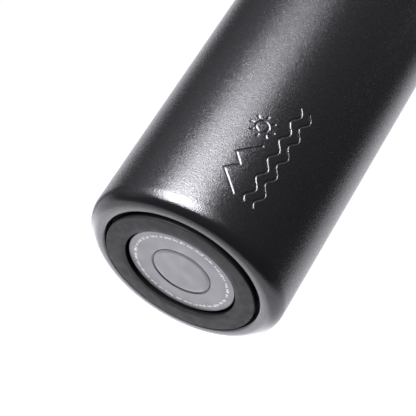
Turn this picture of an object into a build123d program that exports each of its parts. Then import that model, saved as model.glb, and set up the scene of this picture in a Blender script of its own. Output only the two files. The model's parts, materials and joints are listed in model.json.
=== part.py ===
from build123d import *

import os
from math import atan2, tan

# Vacuum flask: a double-walled steel bottle with a screw lid, a folding drinking spout, a straw and a swinging handle.
# +Z is up along the flask's axis, and the origin is the middle of the foot ring's lower face. -Y is the front, where
# the spout's tip lies. Sizes are in millimetres.

# ---------------------------------------------------------------- driving dimensions
BODY_R = 36.5  # outside radius of the straight body
SHEET = 0.5  # outer shell's sheet and paint
INNER_SHEET = 0.4  # inner vessel's sheet
NECK_R = 30.5  # outside radius of the neck
RIM_Z = 222.0  # top of the mouth
SHOULDER_LOW_Z = 194.0  # where the shoulder's slope leaves the body
SHOULDER_HIGH_Z = 204.0  # where it meets the neck
BASE_ROUNDING = 5.7  # outside radius of the body's lower corner
SHELL_LOW_Z = 0.8  # lowest point of the shell, above the foot ring's face

LIP_R = 29.1  # opening in the shell's underside
LIP_TOP_Z = 6.0  # top of the flange that is turned up round that opening
RING_OUT_R = 28.6
RING_IN_R = 20.8
RING_H = 3.7
CROWN_WIDTH = 1.8  # sloping part of the foot ring's face, along its inner edge
CROWN_DEPTH = 0.22
UNDERCUT = 1.0  # how much narrower the ring is above, at each wall
UNDERCUT_Z = 2.0
DISC_R = 20.35  # raised middle of the base
DISC_Z = 1.3  # its lower face
BASE_SHEET = 0.5
CHANNEL_Z = 4.0  # roof of the channel that holds the foot ring
DIMPLE_R = 10.7
DIMPLE_DEPTH = 1.1
COVER_RECESS = 0.06  # how far the dimple's cover lies above the disc's face
COVER_SLOPE = 1.2  # width of the slope round the cover's face
COVER_EDGE = 0.22  # its depth
GROOVE_WIDTH = 0.8  # slope that leads down to the cover's edge
GROOVE_DEPTH = 0.33

VESSEL_R = 33.3  # outside radius of the inner vessel
VESSEL_FLOOR_Z = 9.0
VESSEL_JOIN_Z = 18.0  # weld between the inner base and the vessel's wall
VESSEL_NECK_R = 29.5

PITCH = 4.0  # lid thread
THREAD_TURNS = 1.25
THREAD_LOW_Z = 213.0  # where the neck's ridge starts
FLANK_HALF = 0.9  # half the ridge's width at its foot
CREST_HALF = 0.35  # half its width at its crest
NECK_CREST_R = 27.9
PLUG_CREST_R = 28.6
PLUG_R = 27.5

LID_R = 33.5
LID_LOW_Z = 213.0
LID_TOP_Z = 246.0
SKIRT_R = 31.0  # inside radius of the lid's skirt
SEAM_Z = 226.0  # where the plug's flange meets the lid's shell
PLUG_LOW_Z = 205.0
PLUG_WALL = 2.0
PLUG_FLOOR = 2.5
FLANGE_H = 2.0
CAVITY_R = 26.0
CAVITY_Z = 232.4  # roof of the lid's cavity under the spout

SPOUT_Y = 9.0  # spout's pivot, behind the lid's axis
SPOUT_Z = 238.5
DRUM_R = 7.5
DRUM_HALF = 8.3
SPOUT_REACH = 30.0
CHANNEL_HALF = 8.6
CHANNEL_FLOOR_Z = 234.7
BORE_R = 2.5  # drinking passage
PIN_R = 1.5
STRAW_R = 4.0
NIPPLE_R = 3.3
NIPPLE_LOW_Z = 197.0
VENT_Y = -14.0

HANDLE_Z = 235.0  # handle's pivot
FLAT_X = 29.5  # flats on the lid's sides, where the handle's arms swing
ARM_IN = 29.85
ARM_OUT = 33.35
ARM_HALF = 5.5  # half the handle's width
HOOP_RISE = 16.0  # from the pivot to the middle of the hoop's half circle
SHANK_R = 2.0
RUNNING_GAP = 0.05
GAP = 0.3  # between pieces that move past each other


# ---------------------------------------------------------------- helpers
def turned(*corners):
    """A solid of revolution about Z. Each corner of its outline is (radius, height) or (radius, height, rounding)."""
    outline = Polyline(*[corner[:2] for corner in corners], close=True)
    face = make_face(outline)
    for corner in corners:
        if len(corner) == 3:
            nearest = face.vertices().sort_by_distance(Vector(corner[0], corner[1], 0))[0]
            face = fillet(nearest, corner[2])
    return revolve(Plane.XZ * face, Axis.Z)


def rod(radius, low, high, x=0.0, y=0.0):
    """An upright cylinder from one height to another."""
    return Pos(x, y, low) * Cylinder(radius, high - low, align=(Align.CENTER, Align.CENTER, Align.MIN))


def cross_rod(radius, start, end, y, z):
    """A cylinder along X from one place to another."""
    middle = (start + end) / 2
    return Pos(middle, y, z) * Rot(0, 90, 0) * Cylinder(radius, abs(end - start))


def block(low, high):
    """A box between two corners."""
    size = [high[i] - low[i] for i in range(3)]
    middle = [(high[i] + low[i]) / 2 for i in range(3)]
    return Pos(*middle) * Box(*size)


def both_sides(piece):
    """The piece and its mirror image in the YZ plane, as separate solids."""
    return [piece, mirror(piece, Plane.YZ)]


def thread_ridge(foot_r, crest_r, low_z):
    """A helical ridge, right-handed, that starts above +X."""
    path = Helix(PITCH, PITCH * THREAD_TURNS, foot_r)
    section = Polyline(
        (foot_r, -FLANK_HALF), (crest_r, -CREST_HALF), (crest_r, CREST_HALF), (foot_r, FLANK_HALF), close=True
    )
    return Pos(0, 0, low_z) * sweep(Plane.XZ * make_face(section), path=path, is_frenet=True)


def shoulder_outline(body_r, neck_r, top_z, sheet):
    """Corners of a vessel's shoulder and neck, going up its outside, or its inside when a sheet's thickness is given."""
    shift = sheet * tan(atan2(body_r - neck_r, SHOULDER_HIGH_Z - SHOULDER_LOW_Z) / 2)
    return [
        (body_r - sheet, SHOULDER_LOW_Z - shift, 20.0 - sheet),
        (neck_r - sheet, SHOULDER_HIGH_Z - shift, 10.0 + sheet),
        (neck_r - sheet, top_z),
    ]


# ---------------------------------------------------------------- flask
def make_outer_shell():
    """Drawn tube with a shoulder and a neck, turned inward underneath to a lip round the base."""
    top = RIM_Z - 1.0
    return turned(
        (LIP_R, LIP_TOP_Z),
        (LIP_R, SHELL_LOW_Z, 1.4),
        (BODY_R, SHELL_LOW_Z, BASE_ROUNDING),
        *shoulder_outline(BODY_R, NECK_R, top, 0.0),
        *reversed(shoulder_outline(BODY_R, NECK_R, top, SHEET)),
        (BODY_R - SHEET, SHELL_LOW_Z + SHEET, BASE_ROUNDING - SHEET),
        (LIP_R + SHEET, SHELL_LOW_Z + SHEET, 0.9),
        (LIP_R + SHEET, LIP_TOP_Z),
    )


def make_outer_base():
    """Pressed pan: a raised middle with a dimple, a channel round it for the foot ring, and a skirt welded to the shell."""
    t = BASE_SHEET
    skirt_r = LIP_R - 0.03
    floor_z = DISC_Z + DIMPLE_DEPTH
    pan = turned(
        (0, floor_z),
        (DIMPLE_R, floor_z),
        (DIMPLE_R, DISC_Z + GROOVE_DEPTH),
        (DIMPLE_R + GROOVE_WIDTH, DISC_Z, 0.6),
        (DISC_R, DISC_Z, 0.45),
        (DISC_R, CHANNEL_Z),
        (skirt_r, CHANNEL_Z, 0.4),
        (skirt_r, LIP_TOP_Z),
        (skirt_r - t, LIP_TOP_Z),
        (skirt_r - t, CHANNEL_Z + t),
        (DISC_R - t, CHANNEL_Z + t, 0.3),
        (DISC_R - t, DISC_Z + t),
        (DIMPLE_R + GROOVE_WIDTH + t, DISC_Z + t),
        (DIMPLE_R + t, DISC_Z + GROOVE_DEPTH + t),
        (DIMPLE_R + t, floor_z + t, 0.3),
        (0, floor_z + t),
    )
    return pan - rod(1.5, floor_z - 1, floor_z + t + 1)


def make_seal_cover():
    top = DISC_Z + DIMPLE_DEPTH - 0.02
    low = DISC_Z + COVER_RECESS
    radius = DIMPLE_R - 0.08
    return turned((0, low), (radius - COVER_SLOPE, low, 4.0), (radius, low + COVER_EDGE, 0.1), (radius, top), (0, top))


def make_seal_bead():
    """Glass solder that closes the hole through which the space between the walls was emptied."""
    low = DISC_Z + DIMPLE_DEPTH + 0.02
    top = low + BASE_SHEET
    return turned((0, low), (1.48, low), (1.48, top), (2.6, top), (2.2, top + 0.6, 0.3), (0, top + 0.7))


def make_foot_ring():
    """Rubber ring: its lower face slopes up a little towards the hole, and its walls lean inward above that face."""
    return turned(
        (RING_IN_R, CROWN_DEPTH, 0.3),
        (RING_IN_R + CROWN_WIDTH, 0, 6.0),
        (RING_OUT_R, 0, 0.45),
        (RING_OUT_R - UNDERCUT, UNDERCUT_Z, 1.0),
        (RING_OUT_R - UNDERCUT, RING_H, 0.3),
        (RING_IN_R + UNDERCUT, RING_H, 0.3),
        (RING_IN_R + UNDERCUT, UNDERCUT_Z, 1.0),
    )


def make_ring_tape():
    low, top = RING_H + 0.02, CHANNEL_Z - 0.02
    inner, outer = RING_IN_R + UNDERCUT + 0.4, RING_OUT_R - UNDERCUT - 0.4
    return turned((inner, low), (outer, low), (outer, top), (inner, top))


def make_inner_vessel():
    """Tube with a shoulder, a threaded neck and a rolled rim that covers the shell's upper edge."""
    t = INNER_SHEET
    flange_z = RIM_Z - 0.98
    tube = turned(
        (VESSEL_R, VESSEL_JOIN_Z),
        *shoulder_outline(VESSEL_R, VESSEL_NECK_R, flange_z, 0.0),
        (NECK_R, flange_z),
        (NECK_R, RIM_Z, 0.45),
        *reversed(shoulder_outline(VESSEL_R, VESSEL_NECK_R, RIM_Z, t)),
        (VESSEL_R - t, VESSEL_JOIN_Z),
    )
    return tube + thread_ridge(VESSEL_NECK_R - t + 0.15, NECK_CREST_R, THREAD_LOW_Z)


def make_inner_base():
    t = INNER_SHEET
    return turned(
        (0, VESSEL_FLOOR_Z),
        (VESSEL_R, VESSEL_FLOOR_Z, 9.0),
        (VESSEL_R, VESSEL_JOIN_Z),
        (VESSEL_R - t, VESSEL_JOIN_Z),
        (VESSEL_R - t, VESSEL_FLOOR_Z + t, 9.0 - t),
        (0, VESSEL_FLOOR_Z + t),
    )


def make_radiation_foil():
    low_r, top_r = VESSEL_R + 0.15, VESSEL_R + 0.3
    return turned((low_r, VESSEL_JOIN_Z + 2), (top_r, VESSEL_JOIN_Z + 2), (top_r, 186.0), (low_r, 186.0))


GETTER_X = 12.0


def make_getter_holder():
    top = VESSEL_FLOOR_Z - 0.02
    cup = turned((0, top - 0.4), (5.6, top - 0.4), (5.6, top - 2.4), (6.0, top - 2.4), (6.0, top, 0.4), (0, top))
    return Pos(GETTER_X, 0, 0) * cup


def make_getter_pellet():
    top = VESSEL_FLOOR_Z - 0.45
    return Pos(GETTER_X, 0, 0) * turned((0, top - 1.6), (5.4, top - 1.6, 0.4), (5.4, top, 0.2), (0, top))


# ---------------------------------------------------------------- lid
def make_lid_gasket():
    low = RIM_Z + 0.05
    top = SEAM_Z - FLANGE_H - 0.05
    inner, outer = PLUG_R + 0.1, NECK_R - 0.2
    return turned((inner, low, 0.3), (outer, low, 0.5), (outer, top, 0.5), (inner, top, 0.3))


def make_lid_plug():
    """Threaded cup with a flange, a tube that carries the drink up to the spout, and a nipple for the straw."""
    cup = turned(
        (0, PLUG_LOW_Z),
        (PLUG_R, PLUG_LOW_Z, 1.5),
        (PLUG_R, SEAM_Z - FLANGE_H),
        (SKIRT_R - 0.1, SEAM_Z - FLANGE_H),
        (SKIRT_R - 0.1, SEAM_Z),
        (PLUG_R - PLUG_WALL, SEAM_Z),
        (PLUG_R - PLUG_WALL, PLUG_LOW_Z + PLUG_FLOOR, 1.0),
        (0, PLUG_LOW_Z + PLUG_FLOOR),
    )
    cup += thread_ridge(PLUG_R - 0.15, PLUG_CREST_R, THREAD_LOW_Z - PITCH / 2)
    cup += rod(5.5, PLUG_LOW_Z + 1, SEAM_Z + 1.5, y=SPOUT_Y)
    cup += rod(NIPPLE_R, NIPPLE_LOW_Z, PLUG_LOW_Z + 1, y=SPOUT_Y)
    cup -= rod(BORE_R, NIPPLE_LOW_Z - 1, SEAM_Z + 2.5, y=SPOUT_Y)
    return cup - rod(1.6, PLUG_LOW_Z - 1, PLUG_LOW_Z + 4, y=VENT_Y)


def make_lid_foam():
    low, top = PLUG_LOW_Z + PLUG_FLOOR + 0.1, SEAM_Z - 1.0
    radius = PLUG_R - PLUG_WALL - 0.2
    foam = turned((0, low), (radius, low, 1.2), (radius, top), (0, top))
    return foam - rod(5.7, low - 1, top + 1, y=SPOUT_Y) - rod(2.6, low - 1, top + 1, y=VENT_Y)


def make_lid_shell():
    """Cover with a skirt, flats for the handle's arms, and a channel that the spout folds into."""
    shell = turned(
        (0, LID_LOW_Z),
        (LID_R, LID_LOW_Z, 0.8),
        (LID_R, LID_TOP_Z, 3.5),
        (0, LID_TOP_Z),
    )
    shell -= rod(SKIRT_R, LID_LOW_Z - 1, SEAM_Z + 0.02)
    ledge_z = HANDLE_Z - ARM_HALF - GAP
    for side in (-1, 1):
        low_x, high_x = sorted((side * FLAT_X, side * (LID_R + 1)))
        shell -= block((low_x, -LID_R, ledge_z), (high_x, LID_R, LID_TOP_Z + 1))
    shell -= make_lid_cavity()
    shell -= block((-CHANNEL_HALF, -LID_R - 1, CHANNEL_FLOOR_Z), (CHANNEL_HALF, SPOUT_Y, LID_TOP_Z + 1))
    shell -= cross_rod(DRUM_R + GAP, -CHANNEL_HALF, CHANNEL_HALF, SPOUT_Y, SPOUT_Z)
    shell -= block((-CHANNEL_HALF, SPOUT_Y, SPOUT_Z), (CHANNEL_HALF, SPOUT_Y + DRUM_R + GAP, LID_TOP_Z + 1))
    shell -= rod(6.6, SEAM_Z, SPOUT_Z, y=SPOUT_Y)
    shell -= rod(0.8, CAVITY_Z - 1, CHANNEL_FLOOR_Z + 1, y=VENT_Y)
    shell -= cross_rod(PIN_R, -12.6, 12.6, SPOUT_Y, SPOUT_Z)
    shell = soften_lid(shell)
    for hole in both_sides(cross_rod(SHANK_R, 24.4, LID_R, 0, HANDLE_Z)):
        shell -= hole
    return shell


def soften_lid(shell):
    """Rounds the lid's outer edges: those of its flats, and those of the spout's channel."""
    upright = shell.edges().filter_by(Axis.Z)
    flat_ends = [e for e in upright if abs(abs(e.center().X) - FLAT_X) < 0.01 and abs(e.center().Y) > 10]
    shell = fillet(flat_ends, 1.5)
    upright = shell.edges().filter_by(Axis.Z)
    mouth_ends = [e for e in upright if abs(abs(e.center().X) - CHANNEL_HALF) < 0.01 and e.center().Y < -20]
    return fillet(mouth_ends, 1.2)


def make_lid_cavity():
    """Space inside the lid's shell: a low round part, and two higher parts beside the spout's channel."""
    cavity = rod(CAVITY_R, SEAM_Z, CAVITY_Z)
    cavity -= block((-10.6, SPOUT_Y - 9.0, SEAM_Z - 1), (10.6, SPOUT_Y + 10.0, CAVITY_Z + 1))
    high = rod(CAVITY_R, CAVITY_Z - 1, LID_TOP_Z - 2.6)
    for side in (-1, 1):
        low_x, high_x = sorted((side * 14.4, side * CAVITY_R))
        bay = high & block((low_x, -CAVITY_R, CAVITY_Z - 1), (high_x, CAVITY_R, LID_TOP_Z))
        cavity += bay
        cavity -= cross_rod(4.2, side * 21.0, side * (CAVITY_R + 1), 0, HANDLE_Z)
    return cavity


def make_spout_seal():
    """Silicone block under the spout's drum, with the drinking passage through it."""
    seal = rod(6.4, SEAM_Z + 1.6, SPOUT_Z - 4.0, y=SPOUT_Y)
    seal -= cross_rod(DRUM_R + 0.08, -10, 10, SPOUT_Y, SPOUT_Z)
    return seal - rod(BORE_R, SEAM_Z, SPOUT_Z, y=SPOUT_Y)


def make_spout_pins():
    return both_sides(cross_rod(PIN_R - 0.02, 5.0, 12.5, SPOUT_Y, SPOUT_Z))


def make_vent_valve():
    low = PLUG_LOW_Z
    valve = turned(
        (0, low - 0.9),
        (3.4, low - 0.9, 0.3),
        (3.4, low - 0.02, 0.2),
        (1.5, low - 0.02),
        (1.5, low + 2.52),
        (2.3, low + 2.52),
        (1.2, low + 4.6, 0.4),
        (0, low + 4.6),
    )
    return Pos(0, VENT_Y, 0) * valve


def make_straw():
    low = VESSEL_FLOOR_Z + INNER_SHEET + 3.5
    straw = rod(STRAW_R, low, NIPPLE_LOW_Z - 0.1, y=SPOUT_Y) - rod(STRAW_R - 0.7, low - 1, NIPPLE_LOW_Z, y=SPOUT_Y)
    below = (Align.CENTER, Align.CENTER, Align.MAX)
    return straw - Pos(0, SPOUT_Y, low + 2.0) * Rot(25, 0, 0) * Box(20, 20, 10, align=below)


def make_straw_connector():
    """Silicone sleeve that joins the straw to the plug's nipple."""
    low, step, top = NIPPLE_LOW_Z - 11, NIPPLE_LOW_Z - 0.05, PLUG_LOW_Z - 0.05
    sleeve = turned(
        (STRAW_R + 0.02, low), (STRAW_R + 1.3, low, 0.4), (STRAW_R + 1.3, top, 0.4), (NIPPLE_R + 0.02, top),
        (NIPPLE_R + 0.02, step), (STRAW_R + 0.02, step),
    )
    return Pos(0, SPOUT_Y, 0) * sleeve


# ---------------------------------------------------------------- pieces that swing
def make_spout():
    """Drum with a flat mouthpiece that lies forward when it is shut, and a passage from its tip to the drum's back."""
    mouth = block((-6.5, SPOUT_Y - SPOUT_REACH, SPOUT_Z - 3.5), (6.5, SPOUT_Y, SPOUT_Z + 6.0))
    mouth = fillet(mouth.edges().filter_by(Axis.Y), 2.6)
    tip_edges = mouth.faces().sort_by(Axis.Y)[0].edges()
    mouth = fillet(tip_edges, 1.2)
    spout = cross_rod(DRUM_R, -DRUM_HALF, DRUM_HALF, SPOUT_Y, SPOUT_Z) + mouth
    passage = Pos(0, SPOUT_Y - SPOUT_REACH / 2, SPOUT_Z) * Rot(90, 0, 0) * Cylinder(BORE_R, SPOUT_REACH * 2)
    spout -= passage
    for hole in both_sides(cross_rod(PIN_R + RUNNING_GAP, 4.9, DRUM_HALF + 1, SPOUT_Y, SPOUT_Z)):
        spout -= hole
    return spout


def make_handle():
    """Carrying hoop: two arms joined by a half circle."""
    hoop_z = HANDLE_Z + HOOP_RISE
    outline = Pos(0, hoop_z) * Circle(ARM_OUT) - Pos(0, hoop_z) * Circle(ARM_IN)
    outline -= Pos(0, hoop_z - ARM_OUT) * Rectangle(4 * ARM_OUT, 2 * ARM_OUT)
    arm_x = (ARM_IN + ARM_OUT) / 2
    for side in (-1, 1):
        outline += Pos(side * arm_x, (hoop_z + HANDLE_Z - ARM_HALF) / 2) * Rectangle(
            ARM_OUT - ARM_IN, HOOP_RISE + ARM_HALF
        )
    hoop = extrude(Plane.XZ * outline, ARM_HALF, both=True)
    ends = hoop.edges().filter_by(Axis.X).group_by(Axis.Z)[0]
    hoop = fillet(ends, ARM_HALF - 0.01)
    long_edges = hoop.edges().filter_by(lambda e: e.center().Z > HANDLE_Z + 1 and e.geom_type != GeomType.LINE)
    hoop = fillet(long_edges, 1.0)
    for side in (-1, 1):
        hoop -= cross_rod(SHANK_R + RUNNING_GAP, side * (ARM_IN - 1), side * (ARM_OUT + 1), 0, HANDLE_Z)
        hoop -= cross_rod(4.4, side * (ARM_OUT - 1.5), side * (ARM_OUT + 1), 0, HANDLE_Z)
    return hoop


def make_handle_screws():
    head_low = ARM_OUT - 1.45
    screw = cross_rod(SHANK_R - 0.02, 24.5, head_low + 0.1, 0, HANDLE_Z)
    screw += cross_rod(4.2, head_low, ARM_OUT - 0.05, 0, HANDLE_Z)
    socket = Pos(ARM_OUT - 0.5, 0, HANDLE_Z) * Rot(0, 90, 0) * extrude(RegularPolygon(1.7, 6), 0.5, both=True)
    return both_sides(screw - socket)


def make_handle_washers():
    washer = cross_rod(4.8, FLAT_X + 0.02, ARM_IN - 0.02, 0, HANDLE_Z)
    washer -= cross_rod(SHANK_R + 0.1, FLAT_X - 1, ARM_IN + 1, 0, HANDLE_Z)
    return both_sides(washer)


PIECES = {
    "outer_shell": make_outer_shell,
    "outer_base": make_outer_base,
    "seal_cover": make_seal_cover,
    "seal_bead": make_seal_bead,
    "foot_ring": make_foot_ring,
    "ring_tape": make_ring_tape,
    "inner_vessel": make_inner_vessel,
    "inner_base": make_inner_base,
    "radiation_foil": make_radiation_foil,
    "getter_holder": make_getter_holder,
    "getter_pellet": make_getter_pellet,
    "lid_gasket": make_lid_gasket,
    "lid_plug": make_lid_plug,
    "lid_foam": make_lid_foam,
    "lid_shell": make_lid_shell,
    "spout_seal": make_spout_seal,
    "spout_pins": make_spout_pins,
    "vent_valve": make_vent_valve,
    "straw": make_straw,
    "straw_connector": make_straw_connector,
    "spout": make_spout,
    "handle": make_handle,
    "handle_screws": make_handle_screws,
    "handle_washers": make_handle_washers,
}

os.makedirs("parts", exist_ok=True)
for name, make in PIECES.items():
    made = make()
    shape = Compound(children=made) if isinstance(made, list) else made
    export_step(shape, f"parts/{name}.step")
    print(name, round(shape.volume))
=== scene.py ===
import json
import math
import random

import bpy
import numpy as np
from mathutils import Matrix, Vector


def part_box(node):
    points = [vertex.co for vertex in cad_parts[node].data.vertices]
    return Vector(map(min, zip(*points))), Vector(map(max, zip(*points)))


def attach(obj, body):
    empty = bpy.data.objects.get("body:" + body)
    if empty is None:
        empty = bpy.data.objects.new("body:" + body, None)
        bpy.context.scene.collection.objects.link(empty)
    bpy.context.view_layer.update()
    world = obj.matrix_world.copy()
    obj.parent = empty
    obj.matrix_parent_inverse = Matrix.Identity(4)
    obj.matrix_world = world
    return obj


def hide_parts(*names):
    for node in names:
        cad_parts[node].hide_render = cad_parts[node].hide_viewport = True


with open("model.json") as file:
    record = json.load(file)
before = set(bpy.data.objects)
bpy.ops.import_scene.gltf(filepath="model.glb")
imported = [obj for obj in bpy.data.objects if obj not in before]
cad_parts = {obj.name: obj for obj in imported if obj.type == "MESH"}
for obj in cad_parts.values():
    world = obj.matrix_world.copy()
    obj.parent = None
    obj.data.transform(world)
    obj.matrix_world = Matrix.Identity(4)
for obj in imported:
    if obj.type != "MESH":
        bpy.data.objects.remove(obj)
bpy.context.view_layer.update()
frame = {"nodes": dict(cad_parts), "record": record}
MM = 0.001

# ---------------------------------------------------------------- sizes, in metres
BODY_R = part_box("outer_shell")[1].x
SHELL_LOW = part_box("outer_shell")[0].z
SHELL_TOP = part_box("outer_shell")[1].z
RING_OUT_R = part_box("foot_ring")[1].x
RING_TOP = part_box("foot_ring")[1].z
RING_IN_R = RING_OUT_R - 7.8 * MM
CROWN_WIDTH = 1.8 * MM
CROWN_DEPTH = 0.22 * MM
UNDERCUT = 1.0 * MM
UNDERCUT_Z = 2.0 * MM
NECK_R = BODY_R - 6.0 * MM
LIP_R = RING_OUT_R + 0.5 * MM
LIP_TOP = 6.0 * MM
SHEET = 0.5 * MM
BASE_ROUNDING = 5.7 * MM
TURN_LOW = 1.8 * MM  # between these heights the coat goes from smooth to speckled
TURN_HIGH = 5.0 * MM
SHOULDER_LOW = 194.0 * MM
SHOULDER_HIGH = 204.0 * MM
DISC_R = RING_IN_R - 0.45 * MM
DISC_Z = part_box("outer_base")[0].z
DIMPLE_R = 10.7 * MM
DIMPLE_TOP = DISC_Z + 1.1 * MM
GROOVE_WIDTH = 0.56 * MM
GROOVE_DEPTH = 0.45 * MM
COVER_SLOPE = 1.2 * MM
COVER_EDGE = 0.22 * MM
CHANNEL_Z = 4.0 * MM

# the camera, as it stands to the flask's base
VIEW_DISTANCE = 15.713 * BODY_R
VIEW_ELEVATION = math.radians(-28.51)
VIEW_ROLL = math.radians(-32.37)
AIM_RIGHT = math.radians(0.957)
AIM_UP = math.radians(2.225)
LENS = 148.87

# the light round it
SWEEP_TOWARD = (0.17, 1.0, -0.155)
SWEEP_LIGHT = 1.3
ROOM_LIGHT = 0.112
LIGHT_COLOUR = (0.985, 0.97, 1.045)
STRIP_AZIMUTH = -38.5
STRIP_DISTANCE = 0.62
STRIP_WIDTH = 0.44
STRIP_FOOT = -0.37
STRIP_SPLIT = 0.332  # the strip is dimmer above this height
STRIP_HEAD = 0.53
CARD_AIM = (0, 0, 0.1)
TOP_AIM = (0, 0, 0.2)


# ---------------------------------------------------------------- mesh helpers
def rounded(corners, steps=8):
    """Points of an outline in the (radius, height) plane. A third value on a corner is its rounding."""
    points = []
    count = len(corners)
    for i, corner in enumerate(corners):
        here = np.array(corner[:2], float)
        if len(corner) == 2 or corner[2] <= 0:
            points.append(tuple(here))
            continue
        before = np.array(corners[i - 1][:2], float) - here
        after = np.array(corners[(i + 1) % count][:2], float) - here
        before /= np.linalg.norm(before)
        after /= np.linalg.norm(after)
        half = math.acos(np.clip(before @ after, -1, 1)) / 2
        middle = (before + after) / np.linalg.norm(before + after)
        centre = here + middle * corner[2] / math.sin(half)
        start = here + before * corner[2] / math.tan(half) - centre
        end = here + after * corner[2] / math.tan(half) - centre
        sweep = math.atan2(start[0] * end[1] - start[1] * end[0], start @ end)
        for k in range(steps + 1):
            a = sweep * k / steps
            turn = np.array([[math.cos(a), -math.sin(a)], [math.sin(a), math.cos(a)]])
            points.append(tuple(centre + turn @ start))
    return points


def new_object(name, vertices, faces, smooth_angle=40.0):
    mesh = bpy.data.meshes.new(name)
    mesh.from_pydata([tuple(v) for v in vertices], [], [tuple(f) for f in faces])
    mesh.update()
    mesh.polygons.foreach_set("use_smooth", [True] * len(mesh.polygons))
    mesh.set_sharp_from_angle(angle=math.radians(smooth_angle))
    made = bpy.data.objects.new(name, mesh)
    bpy.context.scene.collection.objects.link(made)
    return made


def grid_faces(rows, columns):
    """Quads of a closed loop of rows swept round a closed loop of columns; vertex = column * rows + row."""
    row, column = np.meshgrid(np.arange(rows), np.arange(columns))
    row, column = row.ravel(), column.ravel()
    next_row, next_column = (row + 1) % rows, (column + 1) % columns
    here, there = column * rows, next_column * rows
    return np.stack([here + row, there + row, there + next_row, here + next_row], 1)


def lathe(name, outline, angles=None, shape=None):
    """A closed outline, going round anticlockwise in the (radius, height) plane, turned about Z."""
    outline = np.array(outline, float)
    if angles is None:
        angles = np.linspace(0, 2 * math.pi, 256, endpoint=False)
    radius = np.repeat(outline[None, :, 0], len(angles), 0)
    height = np.repeat(outline[None, :, 1], len(angles), 0)
    angle = np.repeat(np.array(angles)[:, None], len(outline), 1)
    if shape is not None:
        radius, height = shape(radius, height, angle)
    points = np.stack([radius * np.cos(angle), radius * np.sin(angle), height], -1).reshape(-1, 3)
    return new_object(name, points, grid_faces(len(outline), len(angles)))


def disc_lathe(name, outline, count=256):
    """As lathe, for an outline whose first and last points lie on the axis: a pole vertex closes each end."""
    outline = np.array(outline, float)
    angles = np.linspace(0, 2 * math.pi, count, endpoint=False)
    inner = outline[1:-1]
    rows = len(inner)
    points = [(0, 0, outline[0, 1])]
    for a in angles:
        points += [(r * math.cos(a), r * math.sin(a), z) for r, z in inner]
    points.append((0, 0, outline[-1, 1]))
    faces = []
    for i in range(count):
        here, there = 1 + i * rows, 1 + (i + 1) % count * rows
        faces.append((0, there, here))
        faces += [(here + k, there + k, there + k + 1, here + k + 1) for k in range(rows - 1)]
        faces.append((here + rows - 1, there + rows - 1, len(points) - 1))
    return new_object(name, points, faces)


# ---------------------------------------------------------------- motif pressed into the body
MOTIF_LOW = 0.42 * BODY_R  # nearest the base
MOTIF_LENGTH = 43.0 * MM
MOTIF_DEPTH = 0.22 * MM
STROKE_HALF = 0.3 * MM
STROKE_EDGE = 0.34 * MM
MOTIF_FACING = -math.pi / 2  # it faces the front


def motif_lines():
    """Strokes of hills, a sun and waves, in millimetres. x goes up the flask and y to its left."""
    hills = [(0.4, -0.6), (7.4, 6.5), (11.2, 2.5), (15.0, 5.9), (21.6, -0.6)]
    lines = [hills]
    turn = np.linspace(0, 2 * math.pi, 33)
    lines.append([(28.2 + 2.2 * math.cos(a), 2.9 + 2.2 * math.sin(a)) for a in turn])
    for a in turn[:-1:4]:
        lines.append([(28.2 + r * math.cos(a), 2.9 + r * math.sin(a)) for r in (3.4, 4.4)])
    for level in (-5.0, -8.8):
        along = np.linspace(0.4, 42.6, 120)
        lines.append([(x, level + 1.15 * math.sin(x * 2 * math.pi / 8.44)) for x in along])
    return lines


def motif_distance(x, y):
    """Distance in metres from each point to the nearest stroke's middle line."""
    nearest = np.full(x.shape, 1.0)
    for line in motif_lines():
        ends = np.array(line) * MM
        for start, end in zip(ends[:-1], ends[1:]):
            along = end - start
            share = ((x - start[0]) * along[0] + (y - start[1]) * along[1]) / (along @ along)
            share = np.clip(share, 0, 1)
            off_x, off_y = x - start[0] - share * along[0], y - start[1] - share * along[1]
            nearest = np.minimum(nearest, np.hypot(off_x, off_y))
    return nearest


def press_motif(radius, height, angle):
    """Sinks the shell's outer wall along the motif's strokes."""
    left = (math.pi / 2 + angle) * -BODY_R
    up = height - MOTIF_LOW
    near = (np.abs(radius - BODY_R) < 0.01 * MM) & (np.abs(up - MOTIF_LENGTH / 2) < MOTIF_LENGTH / 2 + 2 * MM)
    near &= (left > -13 * MM) & (left < 10 * MM)
    distance = np.full(radius.shape, 1.0)
    distance[near] = motif_distance(up[near], left[near])
    share = np.clip((STROKE_HALF + STROKE_EDGE / 2 - distance) / STROKE_EDGE, 0, 1)
    return radius - MOTIF_DEPTH * share * share * (3 - 2 * share), height


def shoulder(body_r, neck_r, top, sheet):
    shift = sheet * math.tan(math.atan2(body_r - neck_r, SHOULDER_HIGH - SHOULDER_LOW) / 2)
    return [
        (body_r - sheet, SHOULDER_LOW - shift, 20 * MM - sheet),
        (neck_r - sheet, SHOULDER_HIGH - shift, 10 * MM + sheet),
        (neck_r - sheet, top),
    ]


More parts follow.
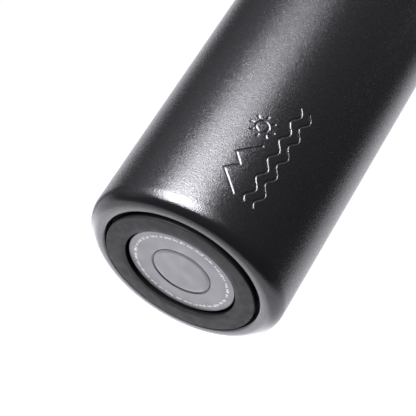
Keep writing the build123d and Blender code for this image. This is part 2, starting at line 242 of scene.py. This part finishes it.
def make_outer_shell():
    grain = 0.16 * MM
    motif_rows = np.arange(MOTIF_LOW - 2 * MM, MOTIF_LOW + MOTIF_LENGTH + 2 * MM, grain)
    outline = rounded(
        [
            (LIP_R, LIP_TOP),
            (LIP_R, SHELL_LOW, 1.4 * MM),
            (BODY_R, SHELL_LOW, BASE_ROUNDING),
            *[(BODY_R, z) for z in motif_rows],
            *[(BODY_R, z) for z in np.arange(motif_rows[-1] + 10 * MM, SHOULDER_LOW - 8 * MM, 12 * MM)],
            *shoulder(BODY_R, NECK_R, SHELL_TOP, 0.0),
            *reversed(shoulder(BODY_R, NECK_R, SHELL_TOP, SHEET)),
            (BODY_R - SHEET, SHELL_LOW + SHEET, BASE_ROUNDING - SHEET),
            (LIP_R + SHEET, SHELL_LOW + SHEET, 0.9 * MM),
            (LIP_R + SHEET, LIP_TOP),
        ],
        steps=14,
    )
    fine = grain / BODY_R
    dense = np.arange(MOTIF_FACING - 10.5 * MM / BODY_R, MOTIF_FACING + 13 * MM / BODY_R, fine)
    rest = np.linspace(dense[-1] + fine, dense[0] - fine + 2 * math.pi, 170)
    return lathe("body_shell", outline, np.concatenate([dense, rest]), press_motif)


shell = make_outer_shell()
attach(shell, "flask")
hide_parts("outer_shell")

# ---------------------------------------------------------------- base
ring = lathe(
    "foot_ring_soft",
    rounded(
        [
            (RING_IN_R, CROWN_DEPTH, 0.3 * MM),
            (RING_IN_R + CROWN_WIDTH, 0, 6 * MM),
            (RING_OUT_R, 0, 0.45 * MM),
            (RING_OUT_R - UNDERCUT, UNDERCUT_Z, 1.0 * MM),
            (RING_OUT_R - UNDERCUT, RING_TOP, 0.3 * MM),
            (RING_IN_R + UNDERCUT, RING_TOP, 0.3 * MM),
            (RING_IN_R + UNDERCUT, UNDERCUT_Z, 1.0 * MM),
        ],
        steps=12,
    ),
)
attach(ring, "flask")
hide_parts("foot_ring")

skirt_r = LIP_R - 0.03 * MM
pan_sheet = 0.5 * MM
pan = disc_lathe(
    "base_pan",
    rounded(
        [
            (0, DIMPLE_TOP),
            (DIMPLE_R, DIMPLE_TOP),
            (DIMPLE_R, DISC_Z + GROOVE_DEPTH, 0.1 * MM),
            (DIMPLE_R + GROOVE_WIDTH, DISC_Z, 0.4 * MM),
            (DISC_R, DISC_Z, 0.45 * MM),
            (DISC_R, CHANNEL_Z),
            (skirt_r, CHANNEL_Z, 0.4 * MM),
            (skirt_r, LIP_TOP),
            (skirt_r - pan_sheet, LIP_TOP),
            (skirt_r - pan_sheet, CHANNEL_Z + pan_sheet),
            (DISC_R - pan_sheet, CHANNEL_Z + pan_sheet, 0.3 * MM),
            (DISC_R - pan_sheet, DISC_Z + pan_sheet),
            (DIMPLE_R + GROOVE_WIDTH + pan_sheet, DISC_Z + pan_sheet),
            (DIMPLE_R + pan_sheet, DISC_Z + GROOVE_DEPTH + pan_sheet),
            (DIMPLE_R + pan_sheet, DIMPLE_TOP + pan_sheet, 0.3 * MM),
            (0, DIMPLE_TOP + pan_sheet),
        ],
        steps=8,
    ),
)
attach(pan, "flask")
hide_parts("outer_base")

cover_low, cover_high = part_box("seal_cover")
cover = disc_lathe(
    "base_cover",
    rounded(
        [
            (0, cover_low.z),
            (cover_high.x - COVER_SLOPE, cover_low.z, 4 * MM),
            (cover_high.x, cover_low.z + COVER_EDGE, 0.1 * MM),
            (cover_high.x, cover_high.z),
            (0, cover_high.z),
        ],
        steps=8,
    ),
)
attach(cover, "flask")
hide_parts("seal_cover")


MARKS_R = 0.475 * BODY_R
MARKS_PROUD = 0.02 * MM
MARKS_SUNK = 0.1 * MM
TICK = 0.36 * MM  # how far a short tick reaches each way from the ring's middle
TICK_LOW = 0.6 * MM
TICK_HIGH = 0.62 * MM
TICK_HALVES = (0.05, 0.07, 0.11)


def make_base_marks():
    """A ring of fine upright ticks of mixed heights, in groups, that stand a hair above the base's face."""
    draw = random.Random(7)
    points, faces = [], []
    quads = ((3, 2, 1, 0), (4, 5, 6, 7), (0, 1, 5, 4), (1, 2, 6, 5), (2, 3, 7, 6), (3, 0, 4, 7))
    angle = 0.0
    while angle < 2 * math.pi - 0.05:
        for _ in range(draw.randint(3, 8)):
            low = -TICK_LOW if draw.random() < 0.2 else -TICK
            high = TICK_HIGH if draw.random() < 0.35 else TICK
            half = draw.choice(TICK_HALVES) * MM
            out = Vector((math.cos(angle), math.sin(angle), 0))
            side = Vector((-out.y, out.x, 0))
            first = len(points)
            for z in (DISC_Z - MARKS_PROUD, DISC_Z + MARKS_SUNK):
                for r, s in ((low, -half), (low, half), (high, half), (high, -half)):
                    spot = out * (MARKS_R + r) + side * s
                    points.append((spot.x, spot.y, z))
            faces += [tuple(first + k for k in quad) for quad in quads]
            angle += (half * 2 + draw.uniform(0.2, 0.38) * MM) / MARKS_R
        angle += draw.uniform(0.5, 1.1) * MM / MARKS_R
    return new_object("base_marks", points, faces)


marks = make_base_marks()
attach(marks, "flask")


# ---------------------------------------------------------------- materials
NOISE_MIDDLE = (0.3, 0.7)  # nearly all of a noise texture's values lie between these


def material(name, colour, metallic, roughness, **sockets):
    made = bpy.data.materials.new(name)
    made.use_nodes = True
    shader = made.node_tree.nodes["Principled BSDF"]
    shader.inputs["Base Color"].default_value = (*colour, 1)
    shader.inputs["Metallic"].default_value = metallic
    shader.inputs["Roughness"].default_value = roughness
    for socket, value in sockets.items():
        shader.inputs[socket.replace("_", " ")].default_value = value
    return made, shader


def node(made, kind, **values):
    """Adds a node. A value named after an input sets it, and any other sets a property."""
    added = made.node_tree.nodes.new(kind)
    for key, value in values.items():
        socket = key.replace("_", " ")
        if socket in added.inputs:
            added.inputs[socket].default_value = value
        else:
            setattr(added, key, value)
    return added


def link(made, output, target):
    made.node_tree.links.new(output, target)


def spread(made, texture, low, high):
    """A texture's middle values, spread over a range."""
    ramp = node(made, "ShaderNodeMapRange")
    limits = (*NOISE_MIDDLE, low, high)
    for socket, value in zip(("From Min", "From Max", "To Min", "To Max"), limits):
        ramp.inputs[socket].default_value = value
    link(made, texture, ramp.inputs["Value"])
    return ramp.outputs["Result"]


def varied(made, shader, socket, texture, low, high):
    """Drives a shader's socket with a texture, over a range."""
    link(made, spread(made, texture, low, high), shader.inputs[socket])


def tinted(made, shader, texture, dark, light):
    """Drives the base colour with a texture, between two colours."""
    ramp = node(made, "ShaderNodeValToRGB")
    for element, position, colour in zip(ramp.color_ramp.elements, NOISE_MIDDLE, (dark, light)):
        element.position = position
        element.color = (*colour, 1)
    link(made, texture, ramp.inputs["Fac"])
    link(made, ramp.outputs["Color"], shader.inputs["Base Color"])


def grain(made, size, detail=2.0):
    """Noise with features of about that size, in metres, over the object's own coordinates."""
    place = node(made, "ShaderNodeTexCoord")
    noise = node(made, "ShaderNodeTexNoise", Scale=1 / size, Detail=detail, Roughness=0.5)
    link(made, place.outputs["Object"], noise.inputs["Vector"])
    return noise.outputs["Fac"]


def rising(made, start, end, low, high):
    """A value that goes from low to high between two heights above the base."""
    place = node(made, "ShaderNodeTexCoord")
    axes = node(made, "ShaderNodeSeparateXYZ")
    link(made, place.outputs["Object"], axes.inputs["Vector"])
    ramp = node(made, "ShaderNodeMapRange", interpolation_type="SMOOTHSTEP")
    for socket, value in zip(("From Min", "From Max", "To Min", "To Max"), (start, end, low, high)):
        ramp.inputs[socket].default_value = value
    link(made, axes.outputs["Z"], ramp.inputs["Value"])
    return ramp.outputs["Result"]


def bumped(made, shader, texture, height, strength=None):
    """Raises the surface by a texture, to that height in metres."""
    bump = node(made, "ShaderNodeBump", Strength=1.0, Distance=height)
    link(made, texture, bump.inputs["Height"])
    if strength is not None:
        link(made, strength, bump.inputs["Strength"])
    link(made, bump.outputs["Normal"], shader.inputs["Normal"])


def scaled(made, value, factor):
    """The product of two sockets."""
    product = node(made, "ShaderNodeMath", operation="MULTIPLY")
    link(made, value, product.inputs[0])
    link(made, factor, product.inputs[1])
    return product.outputs["Value"]


def powder_coat():
    """A fine satin speckle, smoother where the sheet turns under at the base, and duller again at the lip."""
    made, shader = material("powder_coat_black", (0.0025, 0.0024, 0.0027), 0.0, 0.26, IOR=1.6)
    fine = grain(made, 0.34 * MM, detail=0.0)
    bumped(made, shader, fine, 0.07 * MM, rising(made, TURN_LOW, TURN_HIGH, 0.45, 1.0))
    body = spread(made, grain(made, 0.8 * MM), 0.235, 0.285)
    turned = scaled(made, body, rising(made, TURN_LOW, TURN_HIGH, 0.52, 1.0))
    dull_lip = rising(made, SHELL_LOW + 0.03 * MM, SHELL_LOW + 0.5 * MM, 2.7, 1.0)
    link(made, scaled(made, turned, dull_lip), shader.inputs["Roughness"])
    varied(made, shader, "Specular IOR Level", grain(made, 0.3 * MM, detail=0.0), 0.4, 0.6)
    tinted(made, shader, fine, (0.0023, 0.0022, 0.0025), (0.0027, 0.0026, 0.0029))
    return made


def satin_steel(name, colour, roughness, size=0.25):
    made, shader = material(name, colour, 1.0, roughness)
    fine = grain(made, size * MM)
    bumped(made, shader, fine, 0.004 * MM)
    varied(made, shader, "Roughness", grain(made, 6 * MM, detail=3.0), roughness - 0.04, roughness + 0.05)
    tinted(made, shader, fine, [c * 0.93 for c in colour], [min(1, c * 1.05) for c in colour])
    return made


def soft_rubber(name, colour, roughness):
    made, shader = material(name, colour, 0.0, roughness, IOR=1.28)
    fine = grain(made, 0.3 * MM, detail=3.0)
    bumped(made, shader, fine, 0.012 * MM)
    varied(made, shader, "Roughness", grain(made, 3 * MM, detail=3.0), roughness - 0.06, roughness + 0.06)
    tinted(made, shader, fine, [c * 0.9 for c in colour], [c * 1.1 for c in colour])
    return made


def moulded(name, colour, roughness, **sockets):
    made, shader = material(name, colour, 0.0, roughness, IOR=1.49, **sockets)
    fine = grain(made, 0.25 * MM)
    bumped(made, shader, fine, 0.01 * MM)
    varied(made, shader, "Roughness", grain(made, 8 * MM, detail=3.0), roughness - 0.04, roughness + 0.05)
    tinted(made, shader, fine, [c * 0.93 for c in colour], [c * 1.07 for c in colour])
    return made


coat = powder_coat()
base_steel = satin_steel("satin_steel_base", (0.14, 0.14, 0.1405), 0.45)
vessel_steel = satin_steel("satin_steel_vessel", (0.56, 0.55, 0.54), 0.32, size=0.2)
foil = satin_steel("bright_foil", (0.8, 0.8, 0.8), 0.2, size=1.0)
dark_metal = satin_steel("sintered_metal", (0.12, 0.12, 0.12), 0.6, size=0.4)
screw_steel = satin_steel("screw_steel", (0.5, 0.5, 0.5), 0.3, size=0.15)
etched = satin_steel("etched_marks", (0.62, 0.62, 0.62), 0.5, size=0.1)
rubber = soft_rubber("foot_rubber_grey", (0.004, 0.004, 0.0041), 0.6)
silicone = soft_rubber("silicone_grey", (0.45, 0.45, 0.44), 0.45)
lid_plastic = moulded("lid_plastic_black", (0.016, 0.016, 0.0165), 0.42)
plug_plastic = moulded("plug_plastic_grey", (0.05, 0.05, 0.052), 0.5)
spout_plastic = moulded("spout_plastic_grey", (0.07, 0.07, 0.072), 0.4)
straw_plastic = moulded("straw_plastic_clear", (0.7, 0.72, 0.74), 0.3, Transmission_Weight=0.6)
tape = moulded("tape_film", (0.5, 0.5, 0.48), 0.5)
glass_bead = moulded("solder_glass", (0.09, 0.1, 0.09), 0.15)
wadding = soft_rubber("wadding_white", (0.75, 0.75, 0.73), 0.9)
# painted shade: a dull near-black material, laid where the gap between the foot ring and the lip lies in
# shadow
painted_shade = soft_rubber("painted_shade_black", (0.002, 0.002, 0.002), 0.8)

BY_SLOT = {
    "powder_coat": coat,
    "base_steel": base_steel,
    "vessel_steel": vessel_steel,
    "foil": foil,
    "getter_metal": dark_metal,
    "solder_glass": glass_bead,
    "foot_rubber": rubber,
    "tape": tape,
    "lid_plastic": lid_plastic,
    "plug_plastic": plug_plastic,
    "spout_plastic": spout_plastic,
    "handle_plastic": lid_plastic,
    "straw_plastic": straw_plastic,
    "silicone": silicone,
    "wadding": wadding,
    "screw_steel": screw_steel,
}


def cover_with(made, paint):
    made.data.materials.clear()
    made.data.materials.append(paint)


def paint_shade_on(made, chosen):
    """Painted shade: dull near black, in place of the outer finish, on the faces whose (radius, height) is
    chosen.
    """
    centres = np.empty(len(made.data.polygons) * 3)
    made.data.polygons.foreach_get("center", centres)
    centres = centres.reshape(-1, 3)
    inside = chosen(np.hypot(centres[:, 0], centres[:, 1]), centres[:, 2])
    made.data.materials.append(painted_shade)
    made.data.polygons.foreach_set("material_index", inside.astype(np.int32))


for part in frame["record"]["subparts"]:
    carried = frame["nodes"][part["node"]]
    cover_with(carried, BY_SLOT[part["material_slot"]])
    carried.data.polygons.foreach_set("use_smooth", [True] * len(carried.data.polygons))
    carried.data.set_sharp_from_angle(angle=math.radians(30))

cover_with(shell, coat)
cover_with(ring, rubber)
cover_with(pan, base_steel)
cover_with(cover, base_steel)
cover_with(marks, etched)
# painted shade: near black on the lip's inner wall, and on the channel that holds the foot ring, where the
# gap lies in shadow
paint_shade_on(shell, lambda r, z: (r < LIP_R + 0.35 * MM) & (z < LIP_TOP + SHEET))
paint_shade_on(pan, lambda r, z: (r > DISC_R - 0.01 * MM) & (z > DISC_Z + 0.7 * MM))


# ---------------------------------------------------------------- floor, light and camera
def camera_axes():
    """Right, up and back of a camera that looks at the base's middle, level with it."""
    away = Vector((0, -math.cos(VIEW_ELEVATION), math.sin(VIEW_ELEVATION)))
    right = (-away).cross(Vector((0, 0, 1))).normalized()
    return right, right.cross(-away), away


def add_camera():
    right, up, away = camera_axes()
    level = Matrix((right, up, away)).transposed()
    target = Vector((-math.tan(AIM_RIGHT), -math.tan(AIM_UP), -1))
    swing = Vector((0, 0, -1)).rotation_difference(target).to_matrix()
    turn = level @ (swing @ Matrix.Rotation(VIEW_ROLL, 3, "Z")).transposed()
    data = bpy.data.cameras.new("view")
    data.lens = LENS
    data.sensor_width = 36
    made = bpy.data.objects.new("view", data)
    made.matrix_world = Matrix.Translation(away * VIEW_DISTANCE) @ turn.to_4x4()
    bpy.context.scene.collection.objects.link(made)
    bpy.context.scene.camera = made


def direction(azimuth, elevation):
    """Unit vector. Azimuth, in degrees, turns from the front, -Y, towards +X."""
    a, e = math.radians(azimuth), math.radians(elevation)
    return Vector((math.sin(a) * math.cos(e), -math.cos(a) * math.cos(e), math.sin(e)))


def softbox(name, azimuth, elevation, distance, width, height, radiance, at=(0, 0, 0)):
    """A rectangular light that faces the flask. Radiance is what a mirror would show of it."""
    data = bpy.data.lights.new(name, "AREA")
    data.shape = "RECTANGLE"
    data.size, data.size_y = width, height
    data.energy = radiance * math.pi * width * height
    data.color = LIGHT_COLOUR
    made = bpy.data.objects.new(name, data)
    away = direction(azimuth, elevation)
    made.location = Vector(at) + away * distance
    made.rotation_mode = "QUATERNION"
    made.rotation_quaternion = away.to_track_quat("Z", "Y")
    bpy.context.scene.collection.objects.link(made)
    return made


def standing_strip(name, foot, head, radiance):
    """An upright softbox at the flask's left front, between two heights."""
    middle = (foot + head) / 2
    softbox(name, STRIP_AZIMUTH, 0, STRIP_DISTANCE, STRIP_WIDTH, head - foot, radiance, at=(0, 0, middle))


def add_world():
    """White to the eye. Its light comes from a sweep behind and under the flask, and is dim in front."""
    world = bpy.data.worlds.new("studio")
    bpy.context.scene.world = world
    world.use_nodes = True
    nodes, links = world.node_tree.nodes, world.node_tree.links
    nodes.clear()
    place = nodes.new("ShaderNodeTexCoord")

    def share(toward, start, end, low, high):
        """A value that goes from low to high near a direction, between two cosines."""
        along = nodes.new("ShaderNodeVectorMath")
        along.operation = "DOT_PRODUCT"
        along.inputs[1].default_value = Vector(toward).normalized()
        links.new(place.outputs["Generated"], along.inputs[0])
        ramp = nodes.new("ShaderNodeMapRange")
        ramp.interpolation_type = "SMOOTHSTEP"
        for socket, value in zip(("From Min", "From Max", "To Min", "To Max"), (start, end, low, high)):
            ramp.inputs[socket].default_value = value
        links.new(along.outputs["Value"], ramp.inputs["Value"])
        return ramp.outputs["Result"]

    def joined(operation, *values):
        total = values[0]
        for value in values[1:]:
            step = nodes.new("ShaderNodeMath")
            step.operation = operation
            links.new(total, step.inputs[0])
            links.new(value, step.inputs[1])
            total = step.outputs["Value"]
        return total

    sweep = share(SWEEP_TOWARD, 0.36, 0.54, ROOM_LIGHT, SWEEP_LIGHT)
    under = share((0.0, 0.985, -0.17), 0.78, 1.0, 0.0, 2.5)
    behind = share((0.0, 0.99, 0.1), 0.93, 1.0, 0.0, 1.3)
    overhead = share((0.0, 0.0, 1.0), 0.75, 0.95, 0.0, 0.8)
    # a dark gap at the left, between the table and what is above it
    left = share((-1.0, 0.0, 0.0), 0.15, 0.55, 0.0, 0.8)
    above_table = share((0.0, 0.0, 1.0), 0.08, 0.24, 0.0, 1.0)
    below_wall = share((0.0, 0.0, 1.0), 0.34, 0.42, 1.0, 0.0)
    gap = joined("MULTIPLY", left, above_table, below_wall)
    kept = nodes.new("ShaderNodeMath")
    kept.operation = "SUBTRACT"
    kept.inputs[0].default_value = 1.0
    links.new(gap, kept.inputs[1])
    strength = joined("MULTIPLY", joined("ADD", sweep, under, behind, overhead), kept.outputs["Value"])
    lit = nodes.new("ShaderNodeBackground")
    lit.inputs["Color"].default_value = (*LIGHT_COLOUR, 1)
    links.new(strength, lit.inputs["Strength"])
    seen = nodes.new("ShaderNodeBackground")
    seen.inputs["Color"].default_value = (1, 1, 1, 1)
    seen.inputs["Strength"].default_value = 1.02
    path = nodes.new("ShaderNodeLightPath")
    mix = nodes.new("ShaderNodeMixShader")
    links.new(path.outputs["Is Camera Ray"], mix.inputs["Fac"])
    links.new(lit.outputs["Background"], mix.inputs[1])
    links.new(seen.outputs["Background"], mix.inputs[2])
    out = nodes.new("ShaderNodeOutputWorld")
    links.new(mix.outputs["Shader"], out.inputs["Surface"])


def add_floor():
    """Pale floor under the flask. Its underside is clear, so that the base can be seen."""
    half = 6.0
    corners = [(-half, -half, 0), (half, -half, 0), (half, half, 0), (-half, half, 0)]
    floor = new_object("floor", corners, [(0, 1, 2, 3)])
    made, shader = material("floor_white", (0.9, 0.913, 0.847), 0.0, 0.6)
    tinted(made, shader, grain(made, 0.08, detail=3.0), (0.88, 0.893, 0.828), (0.92, 0.933, 0.866))
    side = node(made, "ShaderNodeNewGeometry")
    clear = node(made, "ShaderNodeBsdfTransparent")
    mix = node(made, "ShaderNodeMixShader")
    link(made, side.outputs["Backfacing"], mix.inputs["Fac"])
    link(made, shader.outputs["BSDF"], mix.inputs[1])
    link(made, clear.outputs["BSDF"], mix.inputs[2])
    link(made, mix.outputs["Shader"], made.node_tree.nodes["Material Output"].inputs["Surface"])
    cover_with(floor, made)
    floor.visible_diffuse = False
    floor.visible_glossy = False
    floor.visible_transmission = False
    floor.visible_shadow = False


add_camera()
add_world()
add_floor()
standing_strip("strip", STRIP_FOOT, STRIP_SPLIT, 27.5)
standing_strip("strip_top", STRIP_SPLIT, STRIP_HEAD, 5.2)
softbox(
    "card_left", azimuth=-82, elevation=0, distance=0.7, width=0.5, height=1.1, radiance=0.25, at=CARD_AIM
)
softbox("top", azimuth=120, elevation=75, distance=1.4, width=1.2, height=1.2, radiance=2.0, at=TOP_AIM)

bpy.context.scene.view_settings.view_transform = "Standard"
bpy.context.scene.view_settings.look = "None"
